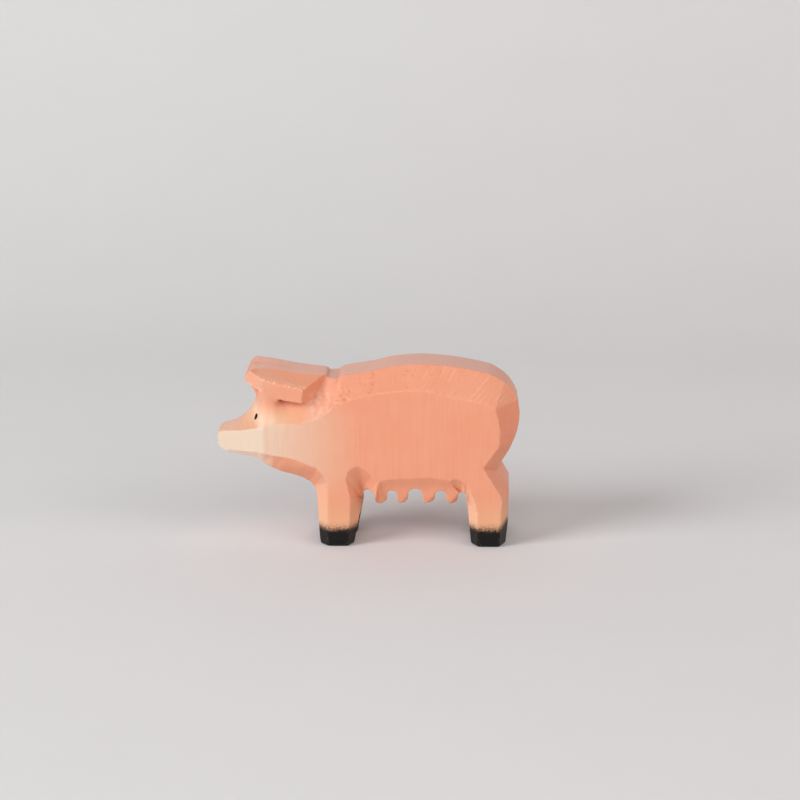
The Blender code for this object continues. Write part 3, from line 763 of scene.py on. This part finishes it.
def hooved(paint, settings, colour, z, place, soft):
    """Black paint over the hooves, with a speckled haze at its border and worn corners."""
    spray = paint.noise(place, 2.6, 3.0)
    hoof = settings.hoof_height / MM + paint.attribute("hoof_rise")
    haze = (1.0 - paint.ramp(z, hoof, hoof + 3.4)) * (
        0.2 + paint.ramp(spray, 0.45, 0.6) * 0.5)
    colour = paint.mix(haze, colour, (0.26, 0.14, 0.08, 1.0))
    black_share = 1.0 - paint.ramp(z - (spray - 0.5) * 4.0 + (soft - 0.5) * 1.2,
                                   hoof - 0.7, hoof + 2.0)
    colour = paint.mix(black_share, colour, rgba(settings.black))
    scuffs = (paint.attribute("worn") * paint.ramp(paint.noise(place, 2.6, 1.0), 0.58, 0.68)
              * black_share * 0.35)
    return paint.mix(scuffs, colour, (0.25, 0.16, 0.11, 1.0))


def toy_paint(settings):
    """Satin paint sprayed over the wood: cream snout, pink body, tan shins, black hooves."""
    paint = Paint("sow_paint")
    x, y, z = paint.millimetres()
    place = paint.vector(x, y, z)
    soft = paint.noise(place, 0.12, 2.0)
    fine = paint.noise(place, 2.4, 2.0)
    fibres = paint.noise(paint.vector(x, y, z * 0.05), 1.3, 3.0)
    colour = sprayed(paint, settings, x, z, soft, fibres)
    colour = marked(paint, settings, colour, place, fine)
    colour = hooved(paint, settings, colour, z, place, soft)
    paint.feed(paint.shader.inputs["Base Color"], colour)
    paint.feed(paint.shader.inputs["Roughness"], settings.gloss + (fine - 0.5) * 0.2)
    paint.shader.inputs["IOR"].default_value = settings.film
    height = fibres + fine * 0.5
    bump = paint.node("ShaderNodeBump", {}, {"Strength": 0.7, "Distance": 0.06 * MM,
                                             "Height": height}, "Normal")
    paint.feed(paint.shader.inputs["Normal"], bump)
    return paint.material


def eye_paint(settings):
    paint = Paint("eye_paint")
    x, y, z = paint.millimetres()
    mottle = paint.noise(paint.vector(x, y, z), 2.0, 1.0)
    colour = paint.mix(mottle, rgba(settings.black), (0.012, 0.008, 0.007, 1.0))
    paint.feed(paint.shader.inputs["Base Color"], colour)
    paint.shader.inputs["Roughness"].default_value = 0.35
    paint.shader.inputs["Specular IOR Level"].default_value = 0.25
    paint.shader.inputs["IOR"].default_value = settings.film
    return paint.material


# ------------------------------------------------------------------ operators

class TOYSOW_OT_carve(bpy.types.Operator):
    """Fuse the nodes into one block, carve its marks and paint it"""
    bl_idname = "toysow.carve"
    bl_label = "Carve Body"

    def execute(self, context):
        settings = context.scene.toysow_carving
        corners, faces = fused_block()
        corners = softened(whittled(corners), faces, settings)
        normals = vertex_normals(corners, faces)
        shares = paint_shares(corners, normals, relief(corners, faces, normals))
        depth = carved_marks(corners, normals, settings)
        corners = corners - normals * depth[:, None]
        corners = np.clip(corners, *CAD_BOX)
        body = mesh_object("sow_body", corners, faces)
        body.data.polygons.foreach_set("use_smooth", np.ones(len(faces), bool))
        for name, values in shares.items():
            layer = body.data.attributes.new(name, "FLOAT", "POINT")
            layer.data.foreach_set("value", np.asarray(values, np.float32))
        body.data.materials.append(toy_paint(context.scene.toysow_paint))
        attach(body, "root")
        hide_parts(*[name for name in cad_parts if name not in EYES])
        return {"FINISHED"}


class TOYSOW_OT_eyes(bpy.types.Operator):
    """Paint the two eyes as slightly raised ovals"""
    bl_idname = "toysow.eyes"
    bl_label = "Paint Eyes"

    def execute(self, context):
        material = eye_paint(context.scene.toysow_paint)
        body = bpy.data.objects["sow_body"]
        for name in EYES:
            eye = mesh_object(name + "_paint", *oval_drop(name, body))
            eye.data.polygons.foreach_set("use_smooth", np.ones(len(eye.data.polygons), bool))
            eye.data.materials.append(material)
            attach(eye, "root")
            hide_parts(name)
        return {"FINISHED"}


# The brush left the eyes wider and taller than their plugs, and leaning back
EYE_WIDER, EYE_TALLER, EYE_LEAN = 1.45, 1.2, 0.17
EYE_THICKNESS = 0.16 * MM
EYE_RAISED = 0.02 * MM


def oval_drop(name, body, rings=10, spokes=32):
    """A drop of paint: a squashed ball whose outline is the eye's oval.

    With u from pole to pole and v round it, a point is centre + across a sin u cos v
    + upward b sin u sin v + outward h cos u, where a and b are the half sizes.  The drop
    lies on the carved face, straight out from the eye's plug.
    """
    centre, half_width, half_height, upward, outward = eye_seat(name)
    start = centre + outward * 3.0 * MM + upward * 0.2 * MM
    hit, place, normal, _ = body.ray_cast(Vector(start), Vector(-outward))
    if not hit:
        raise RuntimeError("no face under " + name)
    centre, outward = np.array(place), np.array(normal) * 0.5 + outward * 0.5
    outward /= np.linalg.norm(outward)
    upward = upward + np.array((EYE_LEAN, 0.0, 0.0))
    upward = upward - outward * (upward @ outward)
    upward /= np.linalg.norm(upward)
    across = np.cross(upward, outward)
    half_width, half_height = half_width * EYE_WIDER, half_height * EYE_TALLER
    u = np.linspace(0.0, math.pi, rings + 1)[1:-1]
    v = np.arange(spokes) * 2.0 * math.pi / spokes
    u, v = np.meshgrid(u, v, indexing="ij")
    ring = (across * (half_width * np.sin(u) * np.cos(v))[..., None]
            + upward * (half_height * np.sin(u) * np.sin(v))[..., None]
            + outward * (EYE_THICKNESS * np.cos(u))[..., None])
    pole = outward * EYE_THICKNESS
    points = np.concatenate([ring.reshape(-1, 3), [pole, -pole]])
    points += centre + outward * EYE_RAISED
    index = np.arange((rings - 1) * spokes).reshape(rings - 1, spokes)
    a, b = index[:-1], index[1:]
    walls = np.stack([a, b, np.roll(b, -1, 1), np.roll(a, -1, 1)], -1).reshape(-1, 4)
    top, bottom = len(points) - 2, len(points) - 1
    first, last = index[0], index[-1]
    caps = np.concatenate([
        np.stack([np.full(spokes, top), first, np.roll(first, -1)], 1),
        np.stack([np.full(spokes, bottom), np.roll(last, -1), last], 1)])
    triangles = np.concatenate([walls[:, [0, 1, 2]], walls[:, [0, 2, 3]], caps])
    if np.dot(np.cross(across, upward), outward) < 0:
        triangles = triangles[:, ::-1]
    return points, triangles


class TOYSOW_OT_stage(bpy.types.Operator):
    """Set the paper sweep, the lights and the camera"""
    bl_idname = "toysow.stage"
    bl_label = "Set Stage"

    def execute(self, context):
        settings = context.scene.toysow_stage
        paper_sweep(settings)
        soft_light("key_light", -57.0, 25.0, 1.3, settings.key, (0.985, 1.0, 1.02))
        soft_light("fill_light", 55.0, 24.0, 1.9, settings.fill, (1.0, 0.92, 0.85))
        soft_light("front_light", 0.0, 25.0, 1.6, settings.front, (1.0, 1.0, 1.0))
        world = bpy.data.worlds.new("soft_room")
        world.use_nodes = True
        background = world.node_tree.nodes["Background"]
        background.inputs["Color"].default_value = (1.0, 1.0, 1.0, 1.0)
        background.inputs["Strength"].default_value = settings.ambient
        context.scene.world = world
        context.scene.view_settings.view_transform = "Standard"
        camera(context.scene)
        return {"FINISHED"}


def paper_sweep(settings):
    """A sheet of paper that lies flat and curves up far behind the toy.

    Its profile runs along the floor, round a quarter circle and straight up, and is carried
    from side to side.
    """
    bend, start, height = 0.7, 0.3, 3.0
    angles = np.linspace(0.0, math.pi / 2, 25)
    y = np.concatenate([[-2.5], start + bend * np.sin(angles), [start + bend]])
    z = np.concatenate([[0.0], bend - bend * np.cos(angles), [height]])
    x = np.array([-3.0, 3.0])
    points = np.stack([np.repeat(x, len(y)), np.tile(y, 2), np.tile(z, 2)], 1)
    low = np.arange(len(y) - 1)
    high = low + len(y)
    faces = np.stack([high, high + 1, low + 1, low], 1)[:, ::-1]
    paper = mesh_object("paper_sweep", points, faces)
    paper.data.polygons.foreach_set("use_smooth", np.ones(len(faces), bool))
    coat = Paint("pale_paper")
    x_mm, y_mm, z_mm = coat.millimetres()
    mottle = coat.noise(coat.vector(x_mm, y_mm, z_mm), 0.02, 3.0)
    tone = [channel * 0.97 for channel in settings.floor]
    coat.feed(coat.shader.inputs["Base Color"], coat.mix(mottle, rgba(tone), rgba(settings.floor)))
    coat.shader.inputs["Roughness"].default_value = 0.9
    coat.shader.inputs["Specular IOR Level"].default_value = 0.2
    paper.data.materials.append(coat.material)


def soft_light(name, turn, rise, size, power, colour, distance=2.2):
    """A round soft light.

    turn goes from the camera's side to the right, and rise is up from the floor, in degrees.
    """
    light = bpy.data.lights.new(name, "AREA")
    light.shape = "DISK"
    light.size = size
    light.energy = power
    light.color = colour
    lamp = bpy.data.objects.new(name, light)
    turn, rise = math.radians(turn), math.radians(rise)
    towards = Vector((math.sin(turn) * math.cos(rise), -math.cos(turn) * math.cos(rise),
                      math.sin(rise)))
    lamp.location = Vector((0.0, 0.0, 0.03)) + towards * distance
    lamp.rotation_euler = (-towards).to_track_quat("-Z", "Y").to_euler()
    bpy.context.scene.collection.objects.link(lamp)


def camera(scene):
    """A long lens about 0.8 m off, that looks down at the toy's left side by 13 degrees."""
    lens = bpy.data.cameras.new("camera")
    lens.lens = 103.41
    lens.sensor_width = 36.0
    lens.clip_start = 0.01
    viewer = bpy.data.objects.new("camera", lens)
    pitch, yaw = math.radians(13.0), math.radians(-1.4)
    aim = Vector((math.sin(yaw) * math.cos(pitch), math.cos(yaw) * math.cos(pitch),
                  -math.sin(pitch)))
    viewer.location = (0.03002, -0.77926, 0.22886)
    viewer.rotation_euler = aim.to_track_quat("-Z", "Y").to_euler()
    scene.collection.objects.link(viewer)
    scene.camera = viewer


# ------------------------------------------------------------------ panel and registration

OPERATORS = (TOYSOW_OT_carve, TOYSOW_OT_eyes, TOYSOW_OT_stage)
GROUPS = {"toysow_carving": CarvingSettings, "toysow_paint": PaintSettings,
          "toysow_stage": StageSettings}


class TOYSOW_PT_panel(bpy.types.Panel):
    """Lists the steps that make the toy"""
    bl_idname = "TOYSOW_PT_panel"
    bl_label = "Toy Sow"
    bl_space_type = "VIEW_3D"
    bl_region_type = "UI"
    bl_category = "Toy Sow"

    def draw(self, context):
        for operator in OPERATORS:
            self.layout.operator(operator.bl_idname)
        for name, group in GROUPS.items():
            box = self.layout.box()
            for field in group.__annotations__:
                box.prop(getattr(context.scene, name), field)


CLASSES = (*GROUPS.values(), *OPERATORS, TOYSOW_PT_panel)


def register():
    for cls in CLASSES:
        bpy.utils.register_class(cls)
    for name, group in GROUPS.items():
        setattr(bpy.types.Scene, name, bpy.props.PointerProperty(type=group))


def unregister():
    for name in GROUPS:
        delattr(bpy.types.Scene, name)
    for cls in reversed(CLASSES):
        bpy.utils.unregister_class(cls)


def main():
    register()
    bpy.ops.toysow.carve()
    bpy.ops.toysow.eyes()
    bpy.ops.toysow.stage()


if __name__ == "__main__":
    main()
